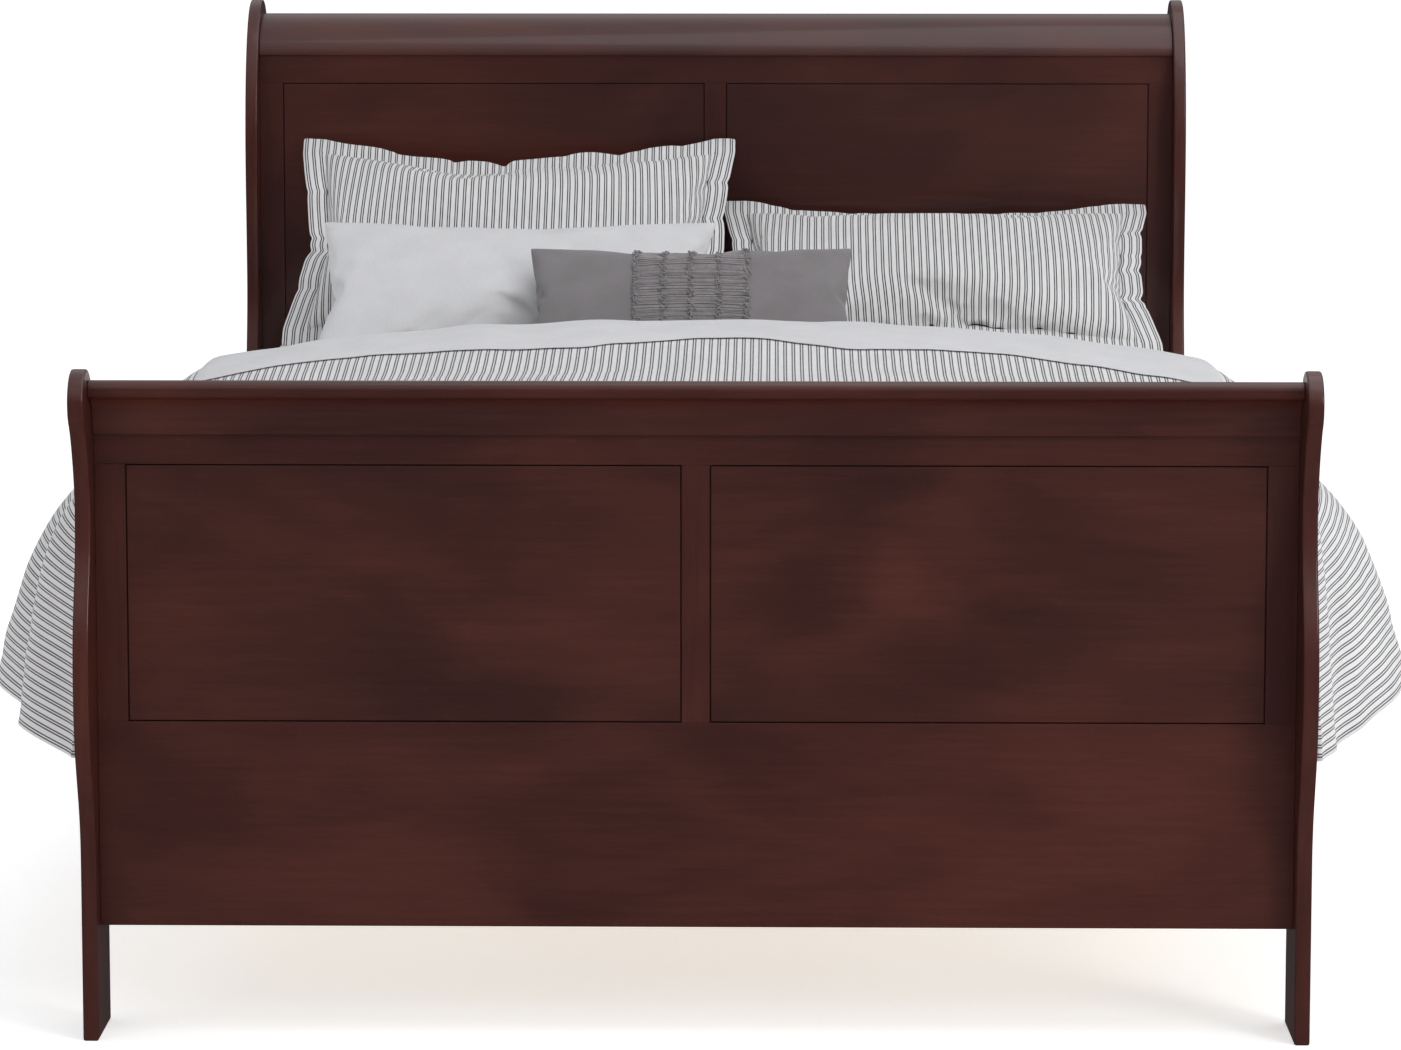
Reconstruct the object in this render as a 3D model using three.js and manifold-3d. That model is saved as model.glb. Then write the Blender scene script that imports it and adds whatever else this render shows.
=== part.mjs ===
// A queen size sleigh bed, made up: curled headboard and footboard with frame-and-panel
// fields, side rails on hook plates, slats over a centre beam with screw feet, a foundation,
// a mattress, and its bedding. Millimetres, +Z up, foot end towards -Y, seen from the foot
// +X is the right-hand side. The floor is Z = 0.
import * as THREE from 'three';
import { mergeVertices } from 'three/addons/utils/BufferGeometryUtils.js';
import Module from 'manifold-3d';

const wasm = await Module();
wasm.setup();

// ---------------------------------------------------------------------------------------
// Driving dimensions
// ---------------------------------------------------------------------------------------
const seat = 0.3;             // gap left between two pieces that touch
const mattress = { width: 1524, length: 2032, height: 300, corner: 60, edge: 18 };
const foundation = { height: 140, corner: 40, edge: 6 };
const sideGap = 34.5;         // mattress side to the inner face of a post
const headGap = 12;           // mattress end to the headboard panel
const footGap = 57;           // mattress end to the footboard panel

const post = {
  thickness: 21,              // plank thickness, across the bed
  rounding: 2.8,              // eased edge
  mortise: 12,                // depth of the frame's mortises
};
const footboard = {
  height: 905,                // to the top of the curled post
  rollRadius: 43,
  rollOut: 19,                // curl's centre in front of the leg's front face
  scrollDrop: 91,             // post top down to the joint under the scroll rail
  legDepth: 120,
  legTop: 240,                // where the straight leg becomes the curve
  belly: 50,                  // how far the belly stands in front of the leg
  waist: 7,
  frameRecess: 34,            // leg front to the frame's front face
  topRail: 41,
  bottomRail: 277,
  clearance: 150,             // floor to the bottom rail
};
const headboard = {
  height: 1300,
  rollRadius: 65,
  rollBack: 130,              // curl's centre behind the upper belly
  scrollDrop: 94,
  legDepth: 120,
  legOut: 20,                 // leg front face in front of the upper belly
  belly: 35,
  waist: 6,
  frameRecess: 50,            // upper belly to the frame's front face
  topRail: 48,
  bottomRail: 300,
  clearance: 300,
};
const frame = {
  thickness: 20,              // stiles and rails
  stile: 41,                  // visible width of an outer stile
  mullion: 37,
  groove: 6,                  // tongue-and-groove width
  grooveDepth: 8,
  tongueFit: 0.4,             // clearance round a tongue
  quirk: 1.9,                 // open line round a panel
  panelDrop: 0.8,             // panel face behind the frame's face
  panelThickness: 15,
  tenon: 8,                   // thickness of the rails' tenons
  tenonShoulder: 12,
};
const button = { radius: 7, rise: 4 };        // caps over the scroll rail's bolts
const rail = {
  height: 190,
  bottom: 215,
  thickness: 20,
  inset: 1,                   // outer face inside the post's outer face
  cleatWidth: 25,
  cleatHeight: 30,
  cleatRise: 10,              // rail's lower edge to the cleat's
};
const hook = {
  plate: 3,                   // steel thickness
  height: 120,
  reach: 60,                  // length let into the rail
  tooth: 11,                  // how far a tooth enters the post
  toothHeight: 26,
  slack: 0.4,
};
const slat = { count: 7, width: 90, thickness: 20, endGap: 3, firstIn: 110 };
const beam = { width: 45, height: 70, endGap: 30 };
const foot = {
  count: 3,
  firstAt: 0.33,              // places of the legs, as shares of the beam's length
  step: 0.25,
  leg: 45,                    // square support leg
  legGap: 22,                 // floor to the leg's lower end
  travel: 12,                 // how far a foot screws up into its leg
  stem: 5,                    // thread radius
  bore: 5.6,
  stemIn: 34,                 // thread length inside the leg at rest
  padRadius: 17,
  padHeight: 8,
  hexRadius: 9,
  hexHeight: 1.7,
};
const quilt = {
  thickness: 14,
  flare: 140,                 // drop's lower edge beyond the post's outer face
  hem: 365,                   // floor to the hem
  crown: 56,                  // rise of the middle over the edge
  out: 0.62,                  // how far out the drop starts, as a share of its flare
  clear: 7,                   // air between it and the mattress
  headEnd: 1080,              // headboard panel to its upper end
};
const cuff = {
  thickness: 22,              // folded comforter edge and sheet together
  flare: 36,                  // hem beyond the mattress side
  hem: 560,
  crown: 78,
  out: 0.3,
  headEnd: 818,               // headboard panel to the fold's crest
};

// ---------------------------------------------------------------------------------------
// Derived places
// ---------------------------------------------------------------------------------------
const innerX = mattress.width / 2 + sideGap;
const outerX = innerX + post.thickness;
const panelToPanel = headGap + mattress.length + footGap;
const footFrameBack = footboard.frameRecess + frame.thickness;
const footReach = footboard.rollOut + footboard.rollRadius;
const headSpan = footFrameBack + panelToPanel - headboard.frameRecess;
const headReach = headboard.rollBack + headboard.rollRadius;
const length = footReach + headSpan + headReach;
const footY = -length / 2 + footReach;        // the footboard legs' front faces
const headY = footY + headSpan;               // the headboard posts' upper belly
const railTop = rail.bottom + rail.height;
const cleatBottom = rail.bottom + rail.cleatRise;
const slatBottom = cleatBottom + rail.cleatHeight + seat;
const slatTop = slatBottom + slat.thickness;
const foundationTop = slatTop + seat + foundation.height;
const mattressBottom = foundationTop + seat;
const mattressTop = mattressBottom + mattress.height;
const mattressY = headY + headboard.frameRecess - headGap - mattress.length / 2;
const railOuterX = outerX - rail.inset;
const railInnerX = railOuterX - rail.thickness;
const railStart = footY + footboard.legDepth + seat;
const railEnd = headY - headboard.legOut - seat;

// ---------------------------------------------------------------------------------------
// Materials
// ---------------------------------------------------------------------------------------
function finish(color, roughness, metalness = 0) {
  return new THREE.MeshStandardMaterial({ color, roughness, metalness });
}
const cherry = finish(0x4a2622, 0.35);
const cherryPanel = finish(0x43241f, 0.35);
const pine = finish(0xc9a877, 0.7);
const zincSteel = finish(0x9a9c9e, 0.4, 1);
const blackPlastic = finish(0x1d1d1f, 0.5);
const ticking = finish(0xd9d8d6, 0.9);
const whiteCotton = finish(0xe4e4e6, 0.9);
const greyCotton = finish(0x807c7e, 0.9);
const mattressCloth = finish(0xe9e6de, 0.9);

// ---------------------------------------------------------------------------------------
// Shape helpers
// ---------------------------------------------------------------------------------------
const group = new THREE.Group();

function add(name, geometry, material) {
  const mesh = new THREE.Mesh(geometry, material);
  mesh.name = name;
  group.add(mesh);
  return mesh;
}

function toSolid(geometry) {
  const bare = geometry.clone();
  bare.deleteAttribute('normal');
  bare.deleteAttribute('uv');
  const merged = mergeVertices(bare, 1e-4);
  return new wasm.Manifold(new wasm.Mesh({
    numProp: 3,
    vertProperties: new Float32Array(merged.attributes.position.array),
    triVerts: new Uint32Array(merged.index.array),
  }));
}

function toGeometry(solid) {
  const mesh = solid.getMesh();
  const geometry = new THREE.BufferGeometry();
  geometry.setAttribute('position', new THREE.BufferAttribute(mesh.vertProperties, 3));
  geometry.setIndex(new THREE.BufferAttribute(mesh.triVerts, 1));
  geometry.computeVertexNormals();
  return geometry;
}

// A box between two corners.
function block(x0, x1, y0, y1, z0, z1) {
  const geometry = new THREE.BoxGeometry(Math.abs(x1 - x0), y1 - y0, z1 - z0);
  return geometry.translate((x0 + x1) / 2, (y0 + y1) / 2, (z0 + z1) / 2);
}

function solidBlock(...sides) {
  return toSolid(block(...sides));
}

// An outline drawn in (y, z), given thickness along X, its edges eased by `rounding`.
function plankAcross(shape, x0, x1, steps, rounding = 0) {
  const eased = rounding > 0;
  const geometry = new THREE.ExtrudeGeometry(shape, {
    depth: Math.abs(x1 - x0) - 2 * rounding,
    curveSegments: steps,
    bevelEnabled: eased,
    bevelThickness: rounding,
    bevelSize: rounding,
    bevelOffset: -rounding,
    bevelSegments: 2,
  });
  const turn = new THREE.Matrix4().makeBasis(
    new THREE.Vector3(0, 1, 0),
    new THREE.Vector3(0, 0, 1),
    new THREE.Vector3(1, 0, 0),
  );
  geometry.applyMatrix4(turn);
  return geometry.translate(Math.min(x0, x1) + rounding, 0, 0);
}

// A rounded rectangle lying flat, with eased upper and lower edges.
function slab(width, long, height, corner, edge, z0) {
  const w = width / 2 - edge;
  const l = long / 2 - edge;
  const r = corner - edge;
  const shape = new THREE.Shape();
  shape.absarc(w - r, l - r, r, 0, Math.PI / 2);
  shape.absarc(-w + r, l - r, r, Math.PI / 2, Math.PI);
  shape.absarc(-w + r, -l + r, r, Math.PI, 1.5 * Math.PI);
  shape.absarc(w - r, -l + r, r, 1.5 * Math.PI, 2 * Math.PI);
  const geometry = new THREE.ExtrudeGeometry(shape, {
    depth: height - 2 * edge,
    curveSegments: 4,
    bevelThickness: edge,
    bevelSize: edge,
    bevelSegments: 2,
  });
  return geometry.translate(0, 0, z0 + edge);
}

// ---------------------------------------------------------------------------------------
// Curled posts: the whole plank is one S curve ending in a round curl
// ---------------------------------------------------------------------------------------
const curlSteps = 12;

function footPostOutline() {
  const f = footboard;
  const rollZ = f.height - f.rollRadius;
  const span = rollZ - f.legTop;
  const bellyZ = f.legTop + 0.39 * span;
  const waistZ = f.legTop + 0.77 * span;
  const straightBack = railTop + 45;
  const at = (angle) => [
    footY - f.rollOut + f.rollRadius * Math.cos(angle),
    rollZ + f.rollRadius * Math.sin(angle),
  ];
  const curlIn = 1.25 * Math.PI;               // where the front curve meets the curl
  const curlOut = 0.2 * Math.PI;               // where the curl becomes the back
  const [inY, inZ] = at(curlIn);
  const [outY, outZ] = at(curlOut);
  const back = footY + f.legDepth;
  const lead = 2 * f.rollRadius;               // length of the curve's handle at the curl
  const shape = new THREE.Shape();
  shape.moveTo(footY, 0);
  shape.lineTo(footY, f.legTop);
  shape.bezierCurveTo(
    footY, f.legTop + 0.17 * span, footY - f.belly, bellyZ - 0.2 * span,
    footY - f.belly, bellyZ,
  );
  shape.bezierCurveTo(
    footY - f.belly, bellyZ + 0.2 * span, footY - f.waist, waistZ - 0.18 * span,
    footY - f.waist, waistZ,
  );
  shape.bezierCurveTo(
    footY - f.waist, waistZ + 0.05 * span,
    inY - 0.6 * f.rollRadius * Math.sin(curlIn), inZ + 0.6 * f.rollRadius * Math.cos(curlIn),
    inY, inZ,
  );
  shape.absarc(footY - f.rollOut, rollZ, f.rollRadius, curlIn, curlOut, true);
  shape.bezierCurveTo(
    outY + lead * Math.sin(curlOut), outZ - lead * Math.cos(curlOut),
    back, straightBack + 0.5 * (rollZ - straightBack), back, straightBack,
  );
  shape.lineTo(back, 0);
  shape.closePath();
  return shape;
}

function headPostOutline() {
  const h = headboard;
  const rollZ = h.height - h.rollRadius;
  const rollY = headY + h.rollBack;
  const legFront = headY - h.legOut;
  const straightFront = railTop + 25;
  const span = rollZ - straightFront;
  const curlIn = 0.5 * Math.PI;
  const curlOut = -0.3333 * Math.PI;
  const plank = 0.65 * h.legDepth;             // depth of the plank at its waist
  const outY = rollY + h.rollRadius * Math.cos(curlOut);
  const outZ = rollZ + h.rollRadius * Math.sin(curlOut);
  const lead = 0.8 * h.rollRadius;
  const shape = new THREE.Shape();
  shape.moveTo(legFront, 0);
  shape.lineTo(legFront, straightFront);
  shape.bezierCurveTo(
    legFront, straightFront + 0.06 * span, headY - h.belly, straightFront + 0.07 * span,
    headY - h.belly, straightFront + 0.14 * span,
  );
  shape.bezierCurveTo(
    headY - h.belly, straightFront + 0.3 * span, headY + h.waist, straightFront + 0.36 * span,
    headY + h.waist, straightFront + 0.49 * span,
  );
  shape.bezierCurveTo(
    headY + h.waist, straightFront + 0.6 * span, headY, straightFront + 0.64 * span,
    headY, straightFront + 0.74 * span,
  );
  shape.bezierCurveTo(
    headY, straightFront + 0.92 * span, rollY - 1.25 * h.rollRadius, h.height,
    rollY, h.height,
  );
  shape.absarc(rollY, rollZ, h.rollRadius, curlIn, curlOut, true);
  shape.bezierCurveTo(
    outY + lead * Math.sin(curlOut), outZ - lead * Math.cos(curlOut),
    headY + plank, outZ - lead, headY + plank, straightFront + 0.75 * span,
  );
  shape.bezierCurveTo(
    headY + plank, straightFront + 0.4 * span,
    legFront + h.legDepth, straightFront + 0.2 * span,
    legFront + h.legDepth, straightFront - 0.3 * span,
  );
  shape.lineTo(legFront + h.legDepth, 0);
  shape.closePath();
  return shape;
}

// The mortises that take the frame's rails, cut from the inner face of a post.
function frameMortises(side, board) {
  const face = side * innerX;
  const deep = side * (innerX + post.mortise);
  const cuts = [];
  for (const bar of [board.top, board.bottom]) {
    cuts.push(solidBlock(
      face - side, deep,
      board.tenonY - frame.tenon / 2 - frame.tongueFit,
      board.tenonY + frame.tenon / 2 + frame.tongueFit,
      bar.z0 + frame.tenonShoulder - frame.tongueFit,
      bar.z1 - frame.tenonShoulder + frame.tongueFit,
    ));
  }
  return cuts;
}

// The slots for the hook plate's two teeth, cut from the edge that meets the side rail.
const toothZ = [0.08, 0.92].map((share) => {
  const low = rail.bottom + (rail.height - hook.height) / 2 + hook.toothHeight / 2;
  return low + share * (hook.height - hook.toothHeight);
});
const railMidX = (railInnerX + railOuterX) / 2;

function hookSlots(side, edgeY, inward) {
  return toothZ.map((z) => solidBlock(
    side * railMidX - hook.plate / 2 - hook.slack, side * railMidX + hook.plate / 2 + hook.slack,
    Math.min(edgeY - inward, edgeY + inward * (hook.tooth + 1)),
    Math.max(edgeY - inward, edgeY + inward * (hook.tooth + 1)),
    z - hook.toothHeight / 2 - hook.slack, z + hook.toothHeight / 2 + hook.slack,
  ));
}

// ---------------------------------------------------------------------------------------
// Frame and panel field, shared by both boards
// ---------------------------------------------------------------------------------------
function fieldLayout(board, plankFront) {
  const joint = board.height - board.scrollDrop;
  const topZ0 = joint - board.topRail;
  const bottomZ1 = board.clearance + board.bottomRail;
  return {
    y0: plankFront + board.frameRecess,
    y1: plankFront + board.frameRecess + frame.thickness,
    tenonY: plankFront + board.frameRecess + frame.thickness / 2,
    top: { z0: topZ0, z1: joint - seat },
    bottom: { z0: board.clearance, z1: bottomZ1 },
    openZ0: bottomZ1,
    openZ1: topZ0,
  };
}

function grooveCut(x0, x1, z0, z1, y) {
  const half = frame.groove / 2 + frame.tongueFit;
  return solidBlock(x0, x1, y - half, y + half, z0, z1);
}

function tongue(x0, x1, z0, z1, y) {
  return solidBlock(x0, x1, y - frame.groove / 2, y + frame.groove / 2, z0, z1);
}

function addField(prefix, lay) {
  const { y0, y1, tenonY, openZ0, openZ1 } = lay;
  const depth = frame.grooveDepth;
  const slack = frame.tongueFit;
  const reach = innerX - seat;
  const tenonX = innerX + post.mortise - 1;

  for (const [name, bar, grooveTop] of [['top_rail', lay.top, false], ['bottom_rail', lay.bottom, true]]) {
    const body = solidBlock(-reach, reach, y0, y1, bar.z0, bar.z1);
    const tenons = solidBlock(
      -tenonX, tenonX, tenonY - frame.tenon / 2, tenonY + frame.tenon / 2,
      bar.z0 + frame.tenonShoulder, bar.z1 - frame.tenonShoulder,
    );
    const groove = grooveTop
      ? grooveCut(-reach - 1, reach + 1, bar.z1 - depth, bar.z1 + 1, tenonY)
      : grooveCut(-reach - 1, reach + 1, bar.z0 - 1, bar.z0 + depth, tenonY);
    add(`${prefix}_${name}`, toGeometry(body.add(tenons).subtract(groove)), cherry);
  }

  // Uprights: stub tongues top and bottom, a groove on each edge that holds a panel.
  const upZ0 = openZ0 + seat;
  const upZ1 = openZ1 - seat;
  const inner = innerX - frame.stile;
  const half = frame.mullion / 2;
  const uprights = [
    ['stile_left', -reach, -inner, [[-inner - depth, -inner + 1]]],
    ['mullion', -half, half, [[-half - 1, -half + depth], [half - depth, half + 1]]],
    ['stile_right', inner, reach, [[inner - 1, inner + depth]]],
  ];
  for (const [name, x0, x1, grooves] of uprights) {
    let body = solidBlock(x0, x1, y0, y1, upZ0, upZ1);
    const stubIn = depth + slack;
    body = body.add(tongue(
      Math.max(x0, -inner - frame.stile / 2), Math.min(x1, inner + frame.stile / 2),
      openZ0 - depth + slack, openZ1 + depth - slack, tenonY,
    ));
    for (const [g0, g1] of grooves) {
      body = body.subtract(grooveCut(g0, g1, openZ0 - stubIn, openZ1 + stubIn, tenonY));
    }
    add(`${prefix}_${name}`, toGeometry(body), cherry);
  }

  // Panels: the field fills the opening to a narrow quirk, the edge is a tongue all round.
  for (const [name, x0, x1] of [['panel_left', -inner, -half], ['panel_right', half, inner]]) {
    const field = solidBlock(
      x0 + frame.quirk, x1 - frame.quirk,
      y0 + frame.panelDrop, y0 + frame.panelDrop + frame.panelThickness,
      openZ0 + frame.quirk, openZ1 - frame.quirk,
    );
    const edge = tongue(
      x0 - depth + 2 * slack, x1 + depth - 2 * slack,
      openZ0 - depth + 2 * slack, openZ1 + depth - 2 * slack, tenonY,
    );
    add(`${prefix}_${name}`, toGeometry(field.add(edge)), cherryPanel);
  }
}

// ---------------------------------------------------------------------------------------
// Scroll rails: the curled top bar of each board, between the posts
// ---------------------------------------------------------------------------------------
function footScrollOutline(lay) {
  const f = footboard;
  const rim = 0.28 * f.rollRadius;             // rounded upper edge
  const rimY = footY - 0.5 * f.rollOut;
  const rimZ = f.height - 0.36 * f.rollRadius - rim;
  const underside = -0.6 * Math.PI;
  const joint = lay.top.z1 + seat;
  const startY = lay.y0 - rim;
  const shape = new THREE.Shape();
  shape.moveTo(startY, joint);
  shape.bezierCurveTo(
    startY + 1, joint + 2.2 * rim, startY - 0.8 * rim, rimZ - 1.15 * rim,
    rimY + rim * Math.cos(underside), rimZ + rim * Math.sin(underside),
  );
  shape.absarc(rimY, rimZ, rim, underside, -1.5 * Math.PI, true);
  shape.bezierCurveTo(
    rimY + 2.2 * rim, rimZ + rim, lay.y1 - 4, joint + 3.6 * rim, lay.y1 - 1, joint,
  );
  shape.closePath();
  return shape;
}

function headScrollOutline(lay) {
  const h = headboard;
  const curl = 0.69 * h.rollRadius;
  const curlY = headY + h.rollBack;
  const curlZ = h.height - 0.37 * h.rollRadius - curl;
  const joint = lay.top.z1 + seat;
  const startY = lay.y0 - 4;
  const tuck = -0.66 * Math.PI;
  const shape = new THREE.Shape();
  shape.moveTo(startY, joint);
  shape.bezierCurveTo(
    startY + 3, joint + 0.75 * curl, curlY - 0.95 * curl, curlZ + curl, curlY, curlZ + curl,
  );
  shape.absarc(curlY, curlZ, curl, 0.5 * Math.PI, tuck, true);
  shape.lineTo(lay.y1 + 5, joint);
  shape.closePath();
  return shape;
}

const footLay = fieldLayout(footboard, footY);
const headLay = fieldLayout(headboard, headY);

for (const [word, side] of [['left', -1], ['right', 1]]) {
  const footPost = frameMortises(side, footLay)
    .concat(hookSlots(side, footY + footboard.legDepth, -1))
    .reduce(
      (solid, cut) => solid.subtract(cut),
      toSolid(plankAcross(footPostOutline(), side * innerX, side * outerX, curlSteps, post.rounding)),
    );
  add(`footboard_post_${word}`, toGeometry(footPost), cherry);

  const headPost = frameMortises(side, headLay)
    .concat(hookSlots(side, headY - headboard.legOut, 1))
    .reduce(
      (solid, cut) => solid.subtract(cut),
      toSolid(plankAcross(headPostOutline(), side * innerX, side * outerX, curlSteps, post.rounding)),
    );
  add(`headboard_post_${word}`, toGeometry(headPost), cherry);
}

// A domed cap on each foot post, over the bolt that holds the scroll rail's end.
function domedCap(side) {
  const dome = new THREE.Shape();
  dome.moveTo(0, 0);
  dome.lineTo(button.radius, 0);
  dome.lineTo(button.radius, 0.25 * button.rise);
  dome.quadraticCurveTo(0.9 * button.radius, button.rise, 0, button.rise);
  const points = dome.getPoints(5);
  return new THREE.LatheGeometry(points, 20).rotateZ(-side * Math.PI / 2).translate(
    side * (outerX + seat), footY - footboard.rollOut, footboard.height - footboard.rollRadius,
  );
}
add('bolt_cap_left', domedCap(-1), cherry);
add('bolt_cap_right', domedCap(1), cherry);

const scrollX = innerX - seat;
add('footboard_scroll_rail', plankAcross(footScrollOutline(footLay), -scrollX, scrollX, 16), cherry);
add('headboard_scroll_rail', plankAcross(headScrollOutline(headLay), -scrollX, scrollX, 24), cherry);
addField('footboard', footLay);
addField('headboard', headLay);

// ---------------------------------------------------------------------------------------
// Side rails, cleats and the steel hook plates in the rail ends
// ---------------------------------------------------------------------------------------
const hookZ0 = rail.bottom + (rail.height - hook.height) / 2;

for (const [word, side] of [['left', -1], ['right', 1]]) {
  const kerfX0 = side * railMidX - hook.plate / 2 - hook.slack;
  const kerfX1 = side * railMidX + hook.plate / 2 + hook.slack;
  let board = solidBlock(
    side * railInnerX, side * railOuterX, railStart, railEnd, rail.bottom, railTop,
  );
  for (const [y0, y1] of [
    [railStart - 1, railStart + hook.reach + hook.slack],
    [railEnd - hook.reach - hook.slack, railEnd + 1],
  ]) {
    board = board.subtract(solidBlock(
      kerfX0, kerfX1, y0, y1, hookZ0 - hook.slack, hookZ0 + hook.height + hook.slack,
    ));
  }
  add(`side_rail_${word}`, toGeometry(board), cherry);

  for (const [end, edgeY, outward] of [['foot', railStart, -1], ['head', railEnd, 1]]) {
    const inY = edgeY - outward * hook.reach;
    let plate = solidBlock(
      side * railMidX - hook.plate / 2, side * railMidX + hook.plate / 2,
      Math.min(inY, edgeY), Math.max(inY, edgeY), hookZ0, hookZ0 + hook.height,
    );
    for (const z of toothZ) {
      const tipY = edgeY + outward * hook.tooth;
      plate = plate.add(solidBlock(
        side * railMidX - hook.plate / 2, side * railMidX + hook.plate / 2,
        Math.min(edgeY - outward, tipY), Math.max(edgeY - outward, tipY),
        z - hook.toothHeight / 2, z + hook.toothHeight / 2,
      ));
    }
    add(`hook_plate_${end}_${word}`, toGeometry(plate), zincSteel);
  }

  add(`slat_cleat_${word}`, block(
    side * (railInnerX - seat), side * (railInnerX - seat - rail.cleatWidth),
    railStart + 10, railEnd - 10, cleatBottom, cleatBottom + rail.cleatHeight,
  ), pine);
}

// ---------------------------------------------------------------------------------------
// Slats, centre beam, support legs and their screw feet
// ---------------------------------------------------------------------------------------
const slatX = railInnerX - slat.endGap;
const slatStart = railStart + slat.firstIn;
const slatPitch = (railEnd - slat.firstIn - slat.width - slatStart) / (slat.count - 1);
for (let i = 0; i < slat.count; i += 1) {
  const y = slatStart + i * slatPitch;
  add(`slat_${i + 1}`, block(-slatX, slatX, y, y + slat.width, slatBottom, slatTop), pine);
}

const beamTop = slatBottom - seat;
const beamBottom = beamTop - beam.height;
const beamY0 = footY + footFrameBack + beam.endGap;
const beamY1 = headY + headboard.frameRecess - beam.endGap;
add('centre_beam', block(-beam.width / 2, beam.width / 2, beamY0, beamY1, beamBottom, beamTop), pine);

function disc(radius, height, z0, sides) {
  const geometry = new THREE.CylinderGeometry(radius, radius, height, sides);
  return geometry.rotateX(Math.PI / 2).translate(0, 0, z0 + height / 2);
}

for (let i = 0; i < foot.count; i += 1) {
  const y = beamY0 + (beamY1 - beamY0) * (foot.firstAt + foot.step * i);
  const boreTop = foot.legGap + foot.stemIn + foot.travel + 4;
  const leg = solidBlock(
    -foot.leg / 2, foot.leg / 2, -foot.leg / 2, foot.leg / 2, foot.legGap, beamBottom - seat,
  ).subtract(toSolid(disc(foot.bore, boreTop - foot.legGap + 1, foot.legGap - 1, 24)));
  add(`support_leg_${i + 1}`, toGeometry(leg), pine).position.set(0, y, 0);

  const pad = toSolid(new THREE.LatheGeometry([
    new THREE.Vector2(0, 0),
    new THREE.Vector2(foot.padRadius - 1.5, 0),
    new THREE.Vector2(foot.padRadius, 1.5),
    new THREE.Vector2(foot.padRadius, 0.55 * foot.padHeight),
    new THREE.Vector2(foot.hexRadius, foot.padHeight),
    new THREE.Vector2(0, foot.padHeight),
  ], 28).rotateX(Math.PI / 2));
  const hex = toSolid(disc(foot.hexRadius, foot.hexHeight + 1, foot.padHeight - 1, 6));
  const stemTop = foot.legGap + foot.stemIn;
  const stem = toSolid(disc(foot.stem, stemTop - 1, 1, 20));
  const turned = pad.add(hex).add(stem);
  add(`screw_foot_${i + 1}`, toGeometry(turned), blackPlastic).position.set(0, y, 0);
}

// ---------------------------------------------------------------------------------------
// Foundation and mattress
// ---------------------------------------------------------------------------------------
add('foundation', slab(
  mattress.width, mattress.length, foundation.height,
  foundation.corner, foundation.edge, slatTop + seat,
), mattressCloth).position.set(0, mattressY, 0);
add('mattress', slab(
  mattress.width, mattress.length, mattress.height,
  mattress.corner, mattress.edge, mattressBottom,
), mattressCloth).position.set(0, mattressY, 0);

// ---------------------------------------------------------------------------------------
// Comforter: over the mattress and down both sides, hem clear of the floor
// ---------------------------------------------------------------------------------------
const quiltY1 = headY + headboard.frameRecess - quilt.headEnd;
const quiltY0 = footY + footboard.legDepth + 6;
const underTop = mattressTop + quilt.clear;

// The section of a cover that lies on the mattress and hangs to `hem` at both sides.
function drapeOutline(hemX, cover) {
  const t = cover.thickness;
  const shoulderX = mattress.width / 2 + quilt.clear;
  const drop = mattressTop - cover.hem;
  const spread = hemX - shoulderX;
  const outward = cover.out * spread;
  const inward = 0.1 * (1 - cover.out) * spread;
  const turn = (0.45 - 0.5 * cover.out) * drop;
  const edgeZ = underTop + t;
  const crownZ = edgeZ + cover.crown;
  const ease = 60;                             // width of the rounded shoulder
  const shape = new THREE.Shape();
  shape.moveTo(-hemX + t, cover.hem);
  shape.bezierCurveTo(
    -hemX + t + inward, cover.hem + 0.45 * drop,
    -shoulderX - outward, mattressTop - turn, -shoulderX, mattressTop - 4,
  );
  shape.lineTo(-shoulderX + 8, underTop);
  shape.lineTo(shoulderX - 8, underTop);
  shape.lineTo(shoulderX, mattressTop - 4);
  shape.bezierCurveTo(
    shoulderX + outward, mattressTop - turn,
    hemX - t - inward, cover.hem + 0.45 * drop, hemX - t, cover.hem,
  );
  shape.lineTo(hemX, cover.hem);
  shape.bezierCurveTo(
    hemX - inward, cover.hem + 0.45 * drop,
    shoulderX + t + outward, mattressTop - turn + t, shoulderX + t, mattressTop - 4 + t,
  );
  shape.quadraticCurveTo(shoulderX + 0.6 * t, edgeZ, shoulderX - ease, edgeZ + 0.3 * cover.crown);
  shape.quadraticCurveTo(0.5 * shoulderX, crownZ, 0, crownZ);
  shape.quadraticCurveTo(-0.5 * shoulderX, crownZ, -shoulderX + ease, edgeZ + 0.3 * cover.crown);
  shape.quadraticCurveTo(-shoulderX - 0.6 * t, edgeZ, -shoulderX - t, mattressTop - 4 + t);
  shape.bezierCurveTo(
    -shoulderX - t - outward, mattressTop - turn + t,
    -hemX + inward, cover.hem + 0.45 * drop, -hemX, cover.hem,
  );
  return shape;
}

// A flat outline in (x, z) given length along Y.
function runAlong(shape, y0, y1, steps) {
  const geometry = new THREE.ExtrudeGeometry(shape, {
    depth: y1 - y0,
    curveSegments: steps,
    bevelEnabled: false,
  });
  return geometry.rotateX(Math.PI / 2).translate(0, y1, 0);
}

const footTuck = toSolid(block(
  -innerX + 6, innerX - 6, footY + footFrameBack + 4, quiltY0 + 10, underTop, underTop + quilt.thickness,
));
const quiltRun = runAlong(drapeOutline(outerX + quilt.flare, quilt), quiltY0, quiltY1, 8);
add('comforter', toGeometry(toSolid(quiltRun).add(footTuck)), ticking);

// The top sheet's cuff: turned down over the comforter's folded upper end.
const cuffY1 = headY + headboard.frameRecess - cuff.headEnd;
add('sheet_cuff', runAlong(
  drapeOutline(mattress.width / 2 + cuff.flare, cuff), quiltY1 + seat, cuffY1, 8,
), whiteCotton);

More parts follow.
